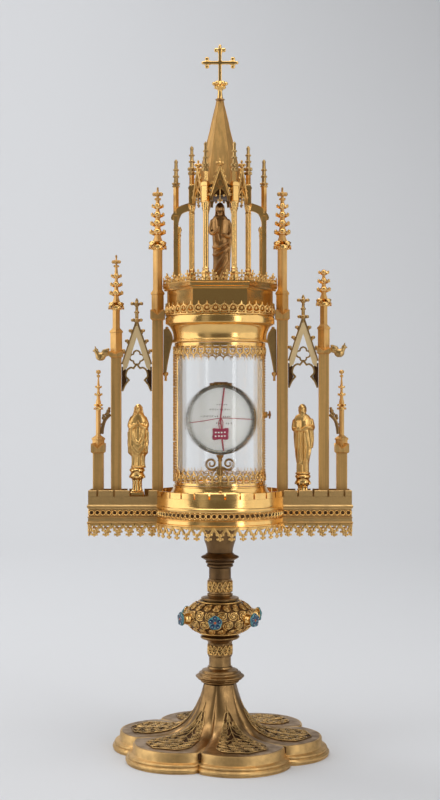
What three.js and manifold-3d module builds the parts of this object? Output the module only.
// A gilt brass reliquary shaped as a Gothic tower: a glass chamber holding a relic capsule, between
// pinnacled towers with two saints, under a six-sided tabernacle with a spire, on a stem and a
// six-lobed foot.
// Millimetres, +Z up, origin in the middle of the foot's underside, front towards -Y.

import * as THREE from "three";
import { mergeVertices } from "three/addons/utils/BufferGeometryUtils.js";
import Module from "manifold-3d";

const wasm = await Module();
wasm.setup();

// ---- driving dimensions ----

const gap = 0.3; // left between pieces that touch
const turnAll = 2 * Math.PI;
const degree = Math.PI / 180;

// Heights of the main joints, from the table up.
const level = {
  footTop: 57,
  lowerCollar: 71.8,
  knobLow: 100.2,
  knobHigh: 126.8,
  upperShaft: 155.3,
  upperRing: 168.3,
  platformLow: 193.5,
  platformFloor: 214,
  parapet: 221.4,
  glassLow: 226,
  glassHigh: 345.5,
  capHigh: 368.5,
  crownFloor: 395,
  capitals: 463.4,
  spireLow: 478.3,
  spireHigh: 551.6,
  top: 600,
};

const foot = {
  lobes: 6,
  turn: -13 * degree,
  lobeDistance: 47.6,
  lobeRadius: 39.1,
  plateau: 15.3,
  neckCorner: 15.5,
  sweep: 0.15, // how fast the lobes fall away from the neck, as a share of their length
};
const knob = { radius: 29.8, bosses: 6, turn: -6.4 * degree, bossReach: 36.9, bossRadius: 6.3 };
const platform = { radius: 54.4, halfDepth: 12.75, halfLength: 111, wall: 1.4 };
const chamber = { radius: 38.6, band: 1, glassWall: 1, lowTrim: 11, highTrim: 12.5, strip: 4.6 * degree };
const hinge = { x: -39.85, radius: 1.15 };
const capsule = { radius: 30.2, depth: 10.6, height: 281.4, turn: -12 * degree };
const catchAt = { y: -2.6, z: 285, reach: 5 };
const crown = { drum: 46.3, cornice: 49, columns: 24, buttress: 37.4 };
const tower = { inner: 53, outer: 88.2, corner: 103.4, shaft: 9.1, outerShaft: 8.5 };

// ---- materials ----

const metal = (color, roughness) => new THREE.MeshStandardMaterial({ color, roughness, metalness: 1 });
const gilt = metal(0xd9a441, 0.25);
const giltMatt = metal(0xb58a3c, 0.4);
const agedBrass = metal(0x8f6a2c, 0.42);
const darkBronze = metal(0x6e4a22, 0.45);
const silver = metal(0xa8a294, 0.35);
const enamel = new THREE.MeshStandardMaterial({ color: 0x1f6f8f, roughness: 0.3 });
const glass = new THREE.MeshStandardMaterial({ color: 0xe8f0ee, roughness: 0.05, opacity: 0.3, transparent: true });

// ---- joining and cutting ----

function asManifold(geometry) {
  const bare = geometry.index ? geometry.toNonIndexed() : geometry.clone();
  for (const name of Object.keys(bare.attributes)) {
    if (name !== "position") bare.deleteAttribute(name);
  }
  const merged = mergeVertices(bare, 1e-4);
  const index = merged.index.array;
  const kept = [];
  for (let i = 0; i < index.length; i += 3) {
    const [a, b, c] = index.subarray(i, i + 3);
    if (a !== b && b !== c && c !== a) kept.push(a, b, c);
  }
  const triVerts = new Uint32Array(kept);
  return new wasm.Manifold(
    new wasm.Mesh({ numProp: 3, vertProperties: merged.attributes.position.array, triVerts }),
  );
}

function asGeometry(manifold) {
  const mesh = manifold.getMesh();
  const geometry = new THREE.BufferGeometry();
  geometry.setAttribute("position", new THREE.BufferAttribute(new Float32Array(mesh.vertProperties), 3));
  geometry.setIndex(new THREE.BufferAttribute(new Uint32Array(mesh.triVerts), 1));
  geometry.computeVertexNormals();
  return geometry;
}

function join(...geometries) {
  return asGeometry(geometries.map(asManifold).reduce((whole, next) => whole.add(next)));
}

function cut(body, ...tools) {
  return asGeometry(tools.map(asManifold).reduce((left, tool) => left.subtract(tool), asManifold(body)));
}

// ---- basic shapes ----

function box(width, depth, low, high, x = 0, y = 0) {
  return new THREE.BoxGeometry(width, depth, high - low).translate(x, y, (low + high) / 2);
}

// A turned piece from a profile of [radius, height] points, closed to the axis at both ends. With few
// sides it is a faceted shaft, with a corner towards the front before `turn`.
function turned(profile, sides, turn = 0) {
  const points = [[0, profile[0][1]], ...profile, [0, profile.at(-1)[1]]];
  const lathe = new THREE.LatheGeometry(
    points.map(([radius, height]) => new THREE.Vector2(radius, height)),
    sides,
  );
  return lathe.rotateX(Math.PI / 2).rotateZ(turn);
}

// A plate in an upright plane: a shape drawn in x and z, `depth` thick about y = 0.
function plate(shape, depth, curveSegments = 4) {
  const flat = new THREE.ExtrudeGeometry(shape, { depth, bevelEnabled: false, curveSegments });
  return flat.rotateX(Math.PI / 2).translate(0, depth / 2, 0);
}

function slab(shape, low, high, curveSegments) {
  const flat = new THREE.ExtrudeGeometry(shape, { depth: high - low, bevelEnabled: false, curveSegments });
  return flat.translate(0, 0, low);
}

const shapeOf = (points) => new THREE.Shape(points.map(([x, y]) => new THREE.Vector2(x, y)));

// A small lump: an eight-faced crystal of the given half sizes.
function lump(x, y, z, halfX, halfY, halfZ) {
  return new THREE.OctahedronGeometry(1).scale(halfX, halfY, halfZ).translate(x, y, z);
}

function ball(x, y, z, halfX, halfY, halfZ, detail = 1) {
  return new THREE.IcosahedronGeometry(1, detail).scale(halfX, halfY, halfZ).translate(x, y, z);
}

// A closed skin over rings of points, each ring with as many points as the last, capped at both ends.
function loft(rings) {
  const count = rings[0].length;
  const middle = (ring) => ring.reduce((sum, p) => sum.add(p), new THREE.Vector3()).divideScalar(count);
  const points = [...rings.flat(), middle(rings[0]), middle(rings.at(-1))];
  const [lowCentre, highCentre] = [points.length - 2, points.length - 1];
  const index = [];
  for (let i = 0; i < count; i++) {
    const next = (i + 1) % count;
    for (let row = 0; row < rings.length - 1; row++) {
      const [a, b] = [row * count + i, row * count + next];
      index.push(a, b, b + count, a, b + count, a + count);
    }
    const last = (rings.length - 1) * count;
    index.push(lowCentre, next, i, highCentre, last + i, last + next);
  }
  return new THREE.BufferGeometry().setFromPoints(points).setIndex(index);
}

// A thin wall between two rows of plan points, with its own low and high edge at each station.
function wall(outer, inner, lows, highs, closed) {
  const sections = outer.map(([x, y], i) => [
    new THREE.Vector3(x, y, lows[i]),
    new THREE.Vector3(x, y, highs[i]),
    new THREE.Vector3(inner[i][0], inner[i][1], highs[i]),
    new THREE.Vector3(inner[i][0], inner[i][1], lows[i]),
  ]);
  const index = [];
  const spans = closed ? sections.length : sections.length - 1;
  for (let i = 0; i < spans; i++) {
    const [here, there] = [i * 4, ((i + 1) % sections.length) * 4];
    for (let k = 0; k < 4; k++) {
      const next = (k + 1) % 4;
      index.push(here + k, there + k, there + next, here + k, there + next, here + next);
    }
  }
  if (!closed) {
    const end = (sections.length - 1) * 4;
    index.push(0, 1, 2, 0, 2, 3, end, end + 2, end + 1, end, end + 3, end + 2);
  }
  return new THREE.BufferGeometry().setFromPoints(sections.flat()).setIndex(index);
}

const onCircle = (radius, angle) => [radius * Math.cos(angle), radius * Math.sin(angle)];

function fourLobed(radius) {
  const swell = (angle) => radius * (1 + 0.16 * Math.cos(4 * angle));
  return Array.from({ length: 8 }, (_, i) => (i * turnAll) / 8).map((angle) => onCircle(swell(angle), angle));
}

// Part of a round wall, from one angle to another, anticlockwise from above.
function arcWall(outerRadius, thickness, low, high, from, to, steps) {
  const angles = Array.from({ length: steps + 1 }, (_, i) => from + ((to - from) * i) / steps);
  return wall(
    angles.map((angle) => onCircle(outerRadius, angle)),
    angles.map((angle) => onCircle(outerRadius - thickness, angle)),
    angles.map(() => low),
    angles.map(() => high),
    false,
  );
}

// ---- scene graph ----

const reliquary = new THREE.Group();

function put(name, geometry, material, parent = reliquary) {
  const mesh = new THREE.Mesh(join(geometry), material);
  mesh.name = name;
  parent.add(mesh);
  return mesh;
}

// Pieces built for the left side serve the right side turned half round the axis.
const sides = [
  { side: "left", turn: 0 },
  { side: "right", turn: Math.PI },
];

function putBothSides(name, makeShape, material) {
  for (const { side, turn } of sides) {
    put(`${name}_${side}`, makeShape(side), material).rotation.z = turn;
  }
}

// ---- foot ----

const lobeStep = turnAll / foot.lobes;
const fromLobe = (angle) => angle - Math.round(angle / lobeStep) * lobeStep;

function lobedRadius(angle, grow) {
  const off = fromLobe(angle);
  const reach = foot.lobeRadius + grow;
  const across = foot.lobeDistance * Math.sin(off);
  return foot.lobeDistance * Math.cos(off) + Math.sqrt(reach ** 2 - across ** 2);
}

const neckRadius = (angle) => (foot.neckCorner * Math.cos(lobeStep / 2)) / Math.cos(fromLobe(angle));

function makeFoot() {
  const around = 5 * foot.lobes;
  const ring = (radiusAt, z) =>
    Array.from({ length: around }, (_, i) => {
      const angle = (i * turnAll) / around + lobeStep / 2;
      return new THREE.Vector3(...onCircle(radiusAt(angle), angle), z);
    });
  // The moulded edge, as [how far it stands out past the plateau, height].
  const edge = [
    [6.8, 0],
    [6.8, 2.4],
    [3.4, 6],
    [0.6, 8.4],
    [0, foot.plateau],
  ];
  const rise = level.footTop - foot.plateau;
  const shares = [0.5, 0.26, 0.12, 0.04, 0];
  return loft([
    ...edge.map(([grow, z]) => ring((angle) => lobedRadius(angle, grow), z)),
    ...shares.map((share) =>
      ring(
        (angle) => neckRadius(angle) + share * (lobedRadius(angle, 0) - neckRadius(angle)),
        foot.plateau + rise * Math.exp(-share / foot.sweep),
      ),
    ),
  ]);
}

put("foot", makeFoot(), agedBrass).rotation.z = foot.turn;

// ---- stem and knob ----

const stemSides = 12;

put(
  "stem_lower_collar",
  turned(
    [
      [13.6, level.footTop + gap],
      [16.6, 59.6],
      [20.6, 63.3],
      [19.6, 64.8],
      [16.2, 67.4],
      [10.4, level.lowerCollar - gap],
    ],
    stemSides,
  ),
  agedBrass,
);
put(
  "stem_lower_shaft",
  turned(
    [
      [9.5, level.lowerCollar],
      [10.2, 80.4],
      [10.2, 91],
      [12.4, 94.8],
      [16.6, 95.2],
      [16.6, level.knobLow - gap],
    ],
    stemSides,
  ),
  agedBrass,
);

function makeKnob() {
  const half = (level.knobHigh - level.knobLow) / 2;
  const middle = level.knobLow + half;
  const slopes = [-62, -38, -13, 13, 38, 62];
  const profile = slopes.map((slope) => [
    knob.radius * Math.cos(slope * degree) ** 0.8,
    middle + (half * Math.sin(slope * degree)) / Math.sin(62 * degree),
  ]);
  return turned(profile, 18);
}

put("knob", makeKnob(), agedBrass);

// A round collet with a flower-shaped head, made along +Z and then laid outwards.
function makeBoss() {
  const root = knob.radius + gap;
  return turned(
    [
      [5, root],
      [knob.bossRadius, 34.4],
      [knob.bossRadius, knob.bossReach],
    ],
    8,
  ).rotateX(Math.PI / 2);
}

const bosses = new THREE.Group();
bosses.position.z = (level.knobLow + level.knobHigh) / 2;
reliquary.add(bosses);
for (let i = 0; i < knob.bosses; i++) {
  put(`knob_boss_${i + 1}`, makeBoss(), enamel, bosses).rotation.z = knob.turn + (i * turnAll) / knob.bosses;
}

put(
  "stem_upper_shaft",
  turned(
    [
      [16.2, level.knobHigh + gap],
      [16.2, 131.6],
      [10.4, 132],
      [10.2, 145],
      [9.5, 145.4],
      [9.5, level.upperShaft - gap],
    ],
    stemSides,
  ),
  agedBrass,
);
put(
  "stem_upper_ring",
  turned(
    [
      [9.8, level.upperShaft],
      [12.3, 159.6],
      [12.6, 161.4],
      [16.3, 164.2],
      [10.8, level.upperRing - gap],
    ],
    stemSides,
  ),
  agedBrass,
);
put(
  "stem_funnel",
  turned(
    [
      [10.8, level.upperRing],
      [13.2, 178],
      [15.8, level.platformLow - gap],
    ],
    stemSides,
  ),
  agedBrass,
);

// ---- platform: a round middle with an arm on each side, a battlemented edge and hanging tracery ----

const armAngle = (grow) => Math.asin((platform.halfDepth + grow) / (platform.radius + grow));

function platformShape(grow) {
  const radius = platform.radius + grow;
  const depth = platform.halfDepth + grow;
  const reach = platform.halfLength + grow;
  const corner = armAngle(grow);
  const shape = new THREE.Shape();
  shape.moveTo(reach, -depth).lineTo(reach, depth);
  shape.absarc(0, 0, radius, corner, Math.PI - corner, false);
  shape.lineTo(-reach, depth).lineTo(-reach, -depth);
  shape.absarc(0, 0, radius, Math.PI + corner, turnAll - corner, false);
  return shape;
}

// Plan points along the platform's edge, anticlockwise: `perArc` spans round the middle, `perArm` along
// each side of an arm, `perEnd` across its end.
function edgeStations(grow, perArc, perArm, perEnd) {
  const radius = platform.radius + grow;
  const depth = platform.halfDepth + grow;
  const reach = platform.halfLength + grow;
  const corner = armAngle(grow);
  const root = radius * Math.cos(corner);
  const half = [];
  for (let i = 0; i < perArm; i++) half.push([reach + ((root - reach) * i) / perArm, depth]);
  for (let i = 0; i < perArc; i++) half.push(onCircle(radius, corner + ((Math.PI - 2 * corner) * i) / perArc));
  for (let i = 0; i < perArm; i++) half.push([-root + ((root - reach) * i) / perArm, depth]);
  for (let i = 0; i < perEnd; i++) half.push([-reach, depth - (2 * depth * i) / perEnd]);
  return [...half, ...half.map(([x, y]) => [-x, -y])];
}

// The notches between merlons: on the round middle, along the arms, and across their ends.
function notches() {
  const notch = { width: 1.5, depth: 6, low: level.parapet - 3.6, step: 13.4 * degree, skew: 2.4 * degree };
  const armSpots = [63, 76.5, 90, 103.5];
  const cutAt = (x, y, angle, width = notch.width) =>
    new THREE.BoxGeometry(width, notch.depth, 8).rotateZ(angle).translate(x, y, notch.low + 4);
  const tools = [];
  for (let i = -4.5; i <= 4.5; i++) {
    const angle = Math.PI / 2 + i * notch.step + notch.skew;
    tools.push(cutAt(...onCircle(platform.radius, angle), angle + Math.PI / 2));
    tools.push(cutAt(...onCircle(platform.radius, -angle), Math.PI / 2 - angle));
  }
  for (const x of armSpots.flatMap((spot) => [spot, -spot])) {
    tools.push(cutAt(x, -platform.halfDepth, 0), cutAt(x, platform.halfDepth, 0));
  }
  tools.push(cutAt(-68.2, -platform.halfDepth, 0, 16.2)); // room for the left pedestal's plinth
  for (const x of [platform.halfLength, -platform.halfLength]) tools.push(cutAt(x, 0, Math.PI / 2));
  return tools;
}

function makePlatform() {
  const steps = 5;
  const rim = cut(
    slab(platformShape(0), level.platformFloor - 4, level.parapet, steps),
    slab(platformShape(-platform.wall), level.platformFloor, level.parapet + 1, steps),
    ...notches(),
  );
  // The stacked edge under the battlements, as [how far it stands out, low, high].
  const layers = [
    [0.4, level.platformLow, 199.4],
    [-0.9, 199.3, 206.1],
    [1.2, 206, 210],
  ];
  return join(rim, ...layers.map(([grow, low, high]) => slab(platformShape(grow), low, high + 0.1, steps)));
}

put("platform", makePlatform(), gilt);

function makePlatformCresting() {
  const counts = [22, 8, 4]; // two stations for each pendant
  const outer = edgeStations(0.2, ...counts);
  const inner = edgeStations(-0.9, ...counts);
  const high = level.platformLow - gap;
  return wall(
    outer,
    inner,
    outer.map((_, i) => (i % 2 ? 182.4 : high - 3.2)),
    outer.map(() => high),
    true,
  );
}

put("platform_cresting", makePlatformCresting(), gilt);

// ---- towers beside the chamber ----

const towerLow = level.platformFloor + gap;

// The profile of a crocketed finial, as [half width, height]: a band of leaves at its foot, rows of
// crockets that grow narrower, then a small cross-shaped knot under the tip. A broken one ends flat
// above its last row.
function finial({ neck, base, spread, band, pitch, rows, tip, broken = false }) {
  const profile = [
    [neck, base],
    [spread, base + band],
  ];
  for (let row = 1; row <= rows; row++) {
    const share = row / (rows + 1);
    const z = base + band + row * pitch;
    profile.push([neck * (1 - 0.5 * share), z - pitch * 0.5], [spread * (1 - 0.35 * share), z]);
  }
  if (broken) return [...profile, [spread * 0.6, profile.at(-1)[1] + 2.6]];
  const knot = tip - 6.4;
  return [...profile, [neck * 0.45, knot - 5], [spread * 0.5, knot], [neck * 0.4, knot + 1.6], [0.8, tip]];
}

const diagonal = Math.SQRT2;

// A square shaft with a sloped set-off, a block turned on edge, and a slender shaft with its finial.
function makeTower({ x, shaft, ledge, setOff, block, neck, top }) {
  const slope = 5.4;
  const stage = [
    [block.half - 0.6, setOff.high - 4],
    [block.half, setOff.high],
    [block.half, block.high],
    [neck, block.high + 1.6],
    ...finial({ neck, ...top }),
  ];
  return join(
    box(shaft, shaft, towerLow, setOff.low),
    box(ledge, ledge, setOff.low, setOff.high),
    turned(
      [
        [(ledge / 2) * diagonal, setOff.high],
        [(ledge / 4) * diagonal, setOff.high + slope],
      ],
      4,
      Math.PI / 4,
    ),
    turned(stage, 4),
  ).translate(-x, 0, 0);
}

const lift = { left: 0, right: 3 }; // the right outer tower and its gable sit a little higher

putBothSides(
  "tower_inner",
  () =>
    makeTower({
      x: tower.inner,
      shaft: tower.shaft,
      ledge: tower.shaft + 3,
      setOff: { low: 366, high: 374 },
      block: { half: 5.2, high: 389.4 },
      neck: 4,
      top: { base: 425, spread: 7.1, band: 7.6, pitch: 7.4, rows: 4, tip: 478.5 },
    }),
  giltMatt,
);
putBothSides(
  "tower_outer",
  (side) =>
    makeTower({
      x: tower.outer,
      shaft: tower.outerShaft,
      ledge: tower.outerShaft + 3,
      setOff: { low: 334.2 + lift[side], high: 338.8 + lift[side] },
      block: { half: 5, high: 357 + lift[side] },
      neck: 3.1,
      top: {
        base: 374 + lift[side],
        spread: 6.2,
        band: 7,
        pitch: 7.3,
        rows: 3,
        tip: 421,
        broken: side === "right",
      },
    }),
  giltMatt,
);
putBothSides(
  "pinnacle_corner",
  () =>
    makeTower({
      x: tower.corner,
      shaft: tower.shaft - 0.2,
      ledge: tower.shaft + 3,
      setOff: { low: 253, high: 260.6 },
      block: { half: 5.1, high: 266 },
      neck: 2.1,
      top: { base: 288.8, spread: 3.7, band: 7, pitch: 6.4, rows: 2, tip: 323.4 },
    }),
  giltMatt,
);

// ---- gables over the saints ----

const gable = {
  middle: (tower.inner + tower.outer + (tower.shaft - tower.outerShaft) / 2) / 2,
  halfSpan: (tower.outer - tower.inner - (tower.shaft + tower.outerShaft) / 2) / 2 - gap,
  apex: 365.4,
  eaves: 322,
  eyeAt: 333.5,
  steepness: 2.7,
};

const withMirror = (half) => [...half, ...half.map(([x, z]) => [-x, z]).reverse()];

// The gable's outline over its cusped arch, from the crown of the arch round the right side to the apex.
function gableOutline() {
  const arch = [
    [1.2, gable.eaves + 4],
    [4.8, gable.eaves + 2],
    [8, gable.eaves],
    [9.6, gable.eaves - 4],
    [7.4, gable.eaves - 7.4],
    [9.6, gable.eaves - 11],
    [gable.halfSpan, gable.eaves - 16.4],
  ];
  const shoulder = gable.apex - gable.halfSpan * gable.steepness;
  return shapeOf(withMirror([...arch, [gable.halfSpan, shoulder], [0.4, gable.apex]]));
}

// A bar bent into four lobes.
function quatrefoil(radius, bar, z, depth) {
  const shape = shapeOf(fourLobed(radius));
  shape.holes.push(shapeOf(fourLobed(radius - bar)));
  return plate(shape, depth).translate(0, 0, z);
}

function makeGable(side) {
  const { apex } = gable;
  const openingFloor = gable.eaves + 3.4;
  const opening = withMirror([
    [0.4, openingFloor + 2.4],
    [4.8, openingFloor],
    [8.2, openingFloor - 1.6],
    [0.4, apex - 13.8],
  ]);
  const crockets = [10, 19].flatMap((drop) => {
    const x = drop / gable.steepness + 2.2;
    return [lump(x, 0, apex - drop, 2.2, 1.5, 1.8), lump(-x, 0, apex - drop, 2.2, 1.5, 1.8)];
  });
  const stalk = turned(
    [
      [1.5, apex - 6],
      [4.8, apex - 2],
      [1.5, apex],
      [1.5, apex + 9.4],
      [5.4, apex + 12.8],
      [1.2, apex + 15],
      [0.9, apex + 19],
    ],
    4,
  );
  const frame = cut(plate(gableOutline(), 3.4), plate(shapeOf(opening), 5));
  const eye = quatrefoil(5.9, 1.3, gable.eyeAt, 2.2);
  return join(frame, eye, stalk, ...crockets).translate(-gable.middle, 0, lift[side]);
}

putBothSides("gable", makeGable, gilt);

// ---- small pieces on the towers ----

// A bird-shaped gargoyle reaching out from the outer tower's ledge, its head raised.
function makeGargoyle(side) {
  const root = -tower.outer - tower.outerShaft / 2 - 2.3;
  return join(
    box(3.4, 2.4, 335, 338, root - 1.9),
    lump(root - 6.4, 0, 336.6, 5.6, 2.8, 4.2),
    lump(root - 11.2, 0, 340, 1.8, 1.5, 4.6),
    lump(root - 3.6, 0, 339.4, 3.4, 3.2, 2.6),
  ).translate(0, 0, lift[side]);
}

putBothSides("gargoyle", makeGargoyle, gilt);

// A thin leafed strut that rises from the corner pinnacle to the outer tower.
function makeFlyer() {
  const towerFace = -tower.outer - tower.shaft / 2;
  const low = new THREE.Vector2(-tower.corner + 3.9, 268);
  const bend = new THREE.Vector2(-tower.corner + 4.6, 282);
  const high = new THREE.Vector2(towerFace, 282.6);
  const curve = new THREE.QuadraticBezierCurve(low, bend, high);
  const half = 1;
  const strut = new THREE.Shape();
  strut.moveTo(low.x - half, low.y);
  strut.lineTo(low.x + half, low.y);
  strut.quadraticCurveTo(bend.x + half, bend.y - half, high.x, high.y - half);
  strut.lineTo(high.x, high.y + half);
  strut.quadraticCurveTo(bend.x - half, bend.y + half, low.x - half, low.y);
  const leaves = [0.5, 0.8].map((share) => {
    const at = curve.getPoint(share);
    return lump(at.x - 0.8, 0, at.y + 2.4, 1.7, 1.3, 3.6);
  });
  return join(plate(strut, 2, 3), ...leaves);
}

putBothSides("flyer", makeFlyer, gilt);

// A quarter arch from the inner tower up to the underside of the chamber's cap.
function makeBracket() {
  const towerFace = -tower.inner + tower.shaft / 2 + gap;
  const arch = new THREE.Shape();
  arch.moveTo(towerFace, 356);
  arch.lineTo(towerFace, 314.6);
  arch.lineTo(towerFace + 1.6, 313.4);
  arch.lineTo(towerFace + 2.6, 315.6);
  arch.lineTo(towerFace + 1.7, 319);
  arch.quadraticCurveTo(towerFace + 2.4, 338, -40.6, 346.6);
  arch.lineTo(-40.6, 350.6);
  arch.quadraticCurveTo(-44.4, 355.4, towerFace, 356);
  return plate(arch, 2.4);
}

putBothSides("bracket", makeBracket, giltMatt);

// ---- saints and their pedestals ----

// A robed body over rings of [height, half width, half depth, sideways shift, fold depth].
function robe(rings, folds, count = 12) {
  return loft(
    rings.map(([z, halfX, halfY, shift, fold]) =>
      Array.from({ length: count }, (_, i) => {
        const angle = (i * turnAll) / count;
        const swell = 1 + fold * Math.cos(folds * angle + z * 0.12);
        return new THREE.Vector3(shift + halfX * swell * Math.cos(angle), halfY * swell * Math.sin(angle), z);
      }),
    ),
  );
}

// The praying woman: veil and mantle fall from the head, hands are joined at the breast.
function makeLeftSaint() {
  const low = 240;
  const body = robe(
    [
      [0, 5.6, 4.4, 0, 0.06],
      [9, 6.2, 4.8, 0, 0.1],
      [13, 8.2, 5.2, 0, 0.06],
      [22, 9, 5.4, 0, 0.04],
      [34, 9.3, 5.2, 0, 0.02],
      [43, 7.4, 4.6, 0, 0],
      [47, 3.6, 3.4, 0, 0],
      [53, 3.6, 3.6, 0, 0],
      [55.4, 1.8, 2, 0, 0],
    ],
    5,
  ).translate(0, 0, low);
  const hands = ball(0, -5.2, low + 38, 1.7, 1.8, 3.4, 0);
  const arms = ball(0, -3.6, low + 34.4, 6.6, 2.8, 2.4, 0);
  return join(body, hands, arms).translate(-69.4, 0, 0);
}

// The bearded man: a cloak gathered under one arm, a book held against the breast.
function makeRightSaint() {
  const low = 234.6;
  const body = robe(
    [
      [0, 5.4, 4.6, 0, 0.08],
      [14, 6.2, 4.8, 0, 0.1],
      [26, 8, 5, 0.6, 0.08],
      [38, 9, 5.2, 0.4, 0.05],
      [46, 7.8, 4.6, 0, 0],
      [50, 3.2, 3, 0, 0],
      [51.4, 2.4, 2.4, 0, 0],
    ],
    6,
  ).translate(0, 0, low);
  const head = ball(-0.4, -0.6, low + 54.6, 3.3, 3.5, 4.4);
  const forearm = ball(-2.2, -4.6, low + 38, 6, 2.2, 2, 0);
  const book = new THREE.BoxGeometry(4.4, 2, 5.6).rotateY(0.3).translate(-3.2, -4.8, low + 41.6);
  return join(body, head, forearm, book).translate(70.4, 0, 0);
}

put("saint_left", makeLeftSaint(), gilt);
put("saint_right", makeRightSaint(), gilt);

// Four little columns standing as one under a swelling capital.
function makePedestal(high, x) {
  const low = towerLow;
  const capital = turned(
    [
      [4.4, high - 10],
      [6.7, high - 7.6],
      [5.9, high - 4.2],
      [6.7, high - 2.6],
      [5.6, high - gap],
    ],
    8,
    turnAll / 16,
  );
  const cluster = slab(shapeOf(fourLobed(3.8)), low, high - 9);
  return join(capital, cluster, box(11.3, 11.3, low, low + 6.6)).translate(x, 0, 0);
}

put("pedestal_left", makePedestal(240, -70.4), gilt);
put("pedestal_right", makePedestal(234.6, 70.4), gilt);

// ---- chamber: base, back frame, door, glass and cap ----

put(
  "chamber_base",
  turned(
    [
      [43.4, level.platformFloor + gap],
      [42.6, 218.6],
      [38.8, level.glassLow],
    ],
    20,
  ),
  gilt,
);
put(
  "chamber_cap",
  turned(
    [
      [38.8, level.glassHigh],
      [40.4, 348],
      [39.9, 354],
      [42.6, 360.4],
      [46.2, 361.4],
      [46.3, level.capHigh - gap],
    ],
    20,
  ),
  gilt,
);

const paneLow = level.glassLow + gap;
const paneHigh = level.glassHigh - gap;
const panelSteps = 9; // facets round each half of the chamber

// Half of the frame round the glass: a trim at each end and a strip down each edge.
function halfFrame(from, to) {
  const { radius, band, strip, lowTrim, highTrim } = chamber;
  const upright = (start) => arcWall(radius, band, paneLow, paneHigh, start, start + strip, 1);
  return join(
    arcWall(radius, band, paneLow, paneLow + lowTrim, from, to, panelSteps),
    arcWall(radius, band, paneHigh - highTrim, paneHigh, from, to, panelSteps),
    upright(from),
    upright(to - strip),
  );
}

function halfGlass(from, to) {
  const outer = chamber.radius - chamber.band - gap;
  return arcWall(outer, chamber.glassWall, paneLow + 0.9, paneHigh - 0.9, from, to, panelSteps);
}

// A length of the hinge's barrel with a leaf to its frame: the back's on +Y, the door's on -Y.
function knuckle(low, high, ySign) {
  const barrel = new THREE.CylinderGeometry(hinge.radius, hinge.radius, high - low, 8)
    .rotateX(Math.PI / 2)
    .translate(hinge.x, 0, (low + high) / 2);
  return [barrel, box(2.1, 0.7, low, high, hinge.x + 1.05, ySign * 0.85)];
}

const seam = 0.65 * degree;
const knuckleEnds = [paneLow + 2, 262, 309, paneHigh - 2];

put(
  "chamber_back_frame",
  join(
    halfFrame(seam, Math.PI - seam),
    ...knuckle(knuckleEnds[0], knuckleEnds[1], 1),
    ...knuckle(knuckleEnds[2], knuckleEnds[3], 1),
  ),
  gilt,
);
put("chamber_back_glass", halfGlass(seam, Math.PI - seam), glass);

const catchLug = box(2.6, 3.4, catchAt.z - 2.6, catchAt.z + 2.6, 39.5, catchAt.y - 0.2);
const spindleHole = new THREE.CylinderGeometry(1.3, 1.3, 3, 8)
  .rotateZ(Math.PI / 2)
  .translate(40.2, catchAt.y - 0.2, catchAt.z);
put(
  "door_frame",
  cut(
    join(
      halfFrame(Math.PI + seam, turnAll - seam),
      ...knuckle(knuckleEnds[1] + gap, knuckleEnds[2] - gap, -1),
      catchLug,
    ),
    spindleHole,
  ),
  gilt,
);
put("door_glass", halfGlass(Math.PI + seam, turnAll - seam), glass);

// The catch turns on a spindle in the door's lug and has a four-petalled head.
function makeCatch() {
  const spindle = new THREE.CylinderGeometry(0.9, 0.9, 2.8, 8).rotateZ(Math.PI / 2).translate(40.6, 0, 0);
  const petals = [0, 1].map((i) =>
    new THREE.OctahedronGeometry(1)
      .scale(0.9, catchAt.reach, 1.7)
      .rotateX(Math.PI / 4 + (i * Math.PI) / 2)
      .translate(42, 0, 0),
  );
  const head = lump(42.2, 0, 0, 1.3, 1.9, 1.9);
  return join(spindle, ...petals, head).translate(0, catchAt.y - 0.2, catchAt.z);
}

put("door_catch", makeCatch(), gilt);

// ---- relic capsule on its stand ----

function makeCapsule() {
  const { radius, depth } = capsule;
  const half = depth / 2;
  return turned(
    [
      [radius - 3, -half],
      [radius, -half + 2.4],
      [radius, half - 1.6],
      [radius - 2, half],
    ],
    20,
  ).rotateX(-Math.PI / 2);
}

const capsuleMesh = put("relic_capsule", makeCapsule(), silver);
capsuleMesh.position.z = capsule.height;
capsuleMesh.rotation.z = capsule.turn;

// A round foot and a stalk between two scrolls, under a short saddle.
function makeStand() {
  const low = level.glassLow + gap;
  const high = capsule.height - capsule.radius - gap;
  const scroll = (side) =>
    new THREE.TorusGeometry(5.4, 1, 4, 8).rotateX(Math.PI / 2).translate(side * 7.6, 0, high - 8.2);
  return join(
    turned(
      [
        [8, low],
        [8, low + 1.2],
        [1.6, low + 4],
        [1.6, high - 3],
        [3.4, high],
      ],
      6,
    ),
    scroll(-1),
    scroll(1),
  );
}

put("capsule_stand", makeStand(), gilt);

// ---- crown: six-sided drum with its crestings ----

const hexTurn = 30 * degree; // puts corners on the X axis and a flat side to the front

put(
  "crown_drum",
  turned(
    [
      [crown.drum - 2, level.capHigh],
      [crown.drum - 2, 387.6],
      [crown.drum + 0.4, 389.4],
      [crown.cornice, 392],
      [crown.cornice, level.crownFloor],
    ],
    6,
    hexTurn,
  ),
  gilt,
);
put(
  "crown_drum_cresting",
  (() => {
    const stations = Array.from({ length: 24 }, (_, i) => (i * turnAll) / 24);
    return wall(
      stations.map((angle) => onCircle(crown.drum, angle)),
      stations.map((angle) => onCircle(crown.drum - 1, angle)),
      stations.map(() => level.capHigh),
      stations.map(() => level.capHigh + 9.4),
      true,
    );
  })(),
  gilt,
);

// Points along a hexagon's sides, `perSide` to each, starting from a corner on +X.
function hexStations(corner, perSide) {
  return Array.from({ length: 6 * perSide }, (_, i) => {
    const [from, to] = [0, 1].map((k) => onCircle(corner, (Math.floor(i / perSide) + k) * 60 * degree));
    const share = (i % perSide) / perSide;
    return [from[0] + (to[0] - from[0]) * share, from[1] + (to[1] - from[1]) * share];
  });
}

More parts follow.
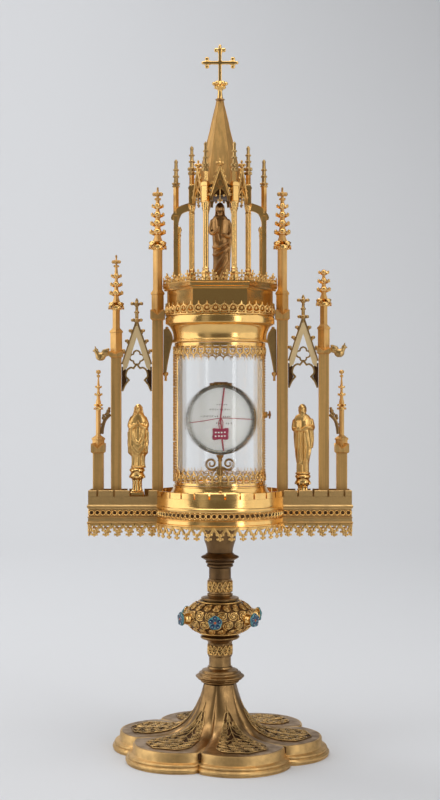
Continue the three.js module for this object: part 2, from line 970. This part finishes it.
function makeFloorCresting() {
  const perSide = 8; // two stations for each leaf
  const low = level.crownFloor + gap;
  const outer = hexStations(crown.cornice - 1, perSide);
  return wall(
    outer,
    hexStations(crown.cornice - 2.1, perSide),
    outer.map(() => low),
    outer.map((_, i) => low + (i % 2 ? 9.6 : 3.4)),
    true,
  );
}

put("crown_floor_cresting", makeFloorCresting(), gilt);

// ---- tabernacle: six columns with pinnacles, a gabled canopy, the spire and the cross ----

function makeColumn() {
  const low = level.crownFloor + gap;
  const head = level.capitals;
  const shaft = turned(
    [
      [3.9, low],
      [3.9, low + 6],
      [2.9, low + 12],
      [2.3, low + 17],
      [2.3, head - 7.4],
      [3.9, head],
    ],
    6,
  );
  const neck = 2.2;
  const spirelet = finial({ neck, base: 488.6, spread: 3.5, band: 6, pitch: 5.4, rows: 1, tip: 513.4 });
  const mast = [[neck, head + 10], ...spirelet];
  return join(shaft, box(5.4, 5.4, head - 0.2, head + 16.4), turned(mast, 4));
}

for (let i = 0; i < 6; i++) {
  const post = new THREE.Group();
  post.rotation.z = i * 60 * degree;
  reliquary.add(post);
  put(`column_${i + 1}`, makeColumn(), gilt, post).position.x = crown.columns;
}

// One side of the canopy: a steep gable over a pointed opening.
function canopyGable() {
  const low = level.capitals + gap;
  const half = 8.2;
  const apex = 498.6;
  const shape = shapeOf(
    withMirror([
      [0.4, low + 17],
      [5.2, low + 8],
      [6.2, low],
      [half, low],
      [half, low + 6],
      [0.4, apex],
    ]),
  );
  const knot = turned(
    [
      [1, apex - 3],
      [3, apex + 4],
      [0.7, apex + 6.4],
    ],
    4,
  );
  return join(plate(shape, 1.6), knot);
}

function makeCanopy() {
  const reach = crown.columns * Math.cos(hexTurn) + 0.4;
  const roof = turned(
    [
      [reach - 0.2, 473.6],
      [reach - 0.2, level.spireLow - gap],
    ],
    12,
  );
  const oneSide = canopyGable().translate(0, -reach, 0);
  const around = Array.from({ length: 6 }, (_, i) => oneSide.clone().rotateZ(i * lobeStep));
  return join(roof, ...around);
}

put("canopy", makeCanopy(), gilt);
put(
  "spire",
  turned(
    [
      [20.4, level.spireLow],
      [11, 516],
      [6, 536.4],
      [2.8, level.spireHigh],
    ],
    6,
    hexTurn,
  ),
  giltMatt,
);

function makeCross() {
  const low = level.spireHigh + gap;
  const middle = 584.2;
  const stalk = turned(
    [
      [3.8, low],
      [3.8, low + 1.8],
      [1.8, 559.6],
      [6.6, 564],
      [1.4, 568.6],
    ],
    6,
  );
  return join(
    stalk,
    box(2.8, 2.2, 567, 594),
    box(26, 2.2, middle - 1.4, middle + 1.4),
    lump(-12.2, 0, middle, 3.6, 1.6, 5),
    lump(12.2, 0, middle, 3.6, 1.6, 5),
    lump(0, 0, level.top - 4.4, 4.8, 1.6, 4.4),
  );
}

put("cross", makeCross(), gilt);

// An outer pier beside the tabernacle, its flying arch, and a small column on its inner face.
function makeButtress() {
  const x = -crown.buttress;
  const low = level.crownFloor + gap;
  const arch = new THREE.Shape();
  arch.moveTo(x + 1.6, 444.6);
  arch.lineTo(x + 3.4, 443.6);
  arch.quadraticCurveTo(x + 4, 455, -28.2, 457.6);
  arch.lineTo(-28.2, 464.6);
  arch.lineTo(x + 1.6, 461);
  arch.lineTo(x - 3.6, 455);
  arch.lineTo(x - 4.2, 451.4);
  arch.lineTo(x - 2, 450.6);
  const colonnette = turned(
    [
      [1.3, low],
      [1.3, 438],
      [2.1, 442.6],
      [1, 445],
    ],
    6,
  ).translate(x + 2.8, 0, 0);
  const neck = 2.3;
  const spirelet = finial({ neck, base: 478.2, spread: 3.6, band: 3.6, pitch: 5, rows: 1, tip: 502 });
  const pinnacle = turned([[neck, 456], ...spirelet], 4).translate(x, 0, 0);
  return join(
    box(4.2, 5.4, low, 454, x),
    plate(arch, 3.4),
    colonnette,
    pinnacle,
  );
}

putBothSides("buttress", makeButtress, gilt);

// The figure in the tabernacle: a long-haired man, his mantle drawn across from one hip.
function makeTopSaint() {
  const low = level.crownFloor + gap;
  const body = robe(
    [
      [0, 8, 6.4, 0, 0],
      [5, 7.6, 6, 0, 0],
      [7, 6.8, 5.4, -0.4, 0.08],
      [26, 6.8, 5, 0, 0.1],
      [40, 7.6, 4.8, 0.6, 0.06],
      [52, 8.6, 5, 0.4, 0],
      [59, 6.6, 4.2, 0, 0],
      [62, 2.8, 2.8, 0, 0],
    ],
    6,
  ).translate(0, 0, low);
  const head = ball(0, -0.8, low + 66, 3.8, 3.9, 5.2);
  const arm = ball(-4.6, -3, low + 46, 4.6, 2.4, 2.2, 0);
  const sleeve = ball(5.2, -2.8, low + 47, 4.4, 2.6, 3, 0);
  return join(body, head, arm, sleeve);
}

put("saint_top", makeTopSaint(), darkBronze);

export default reliquary;
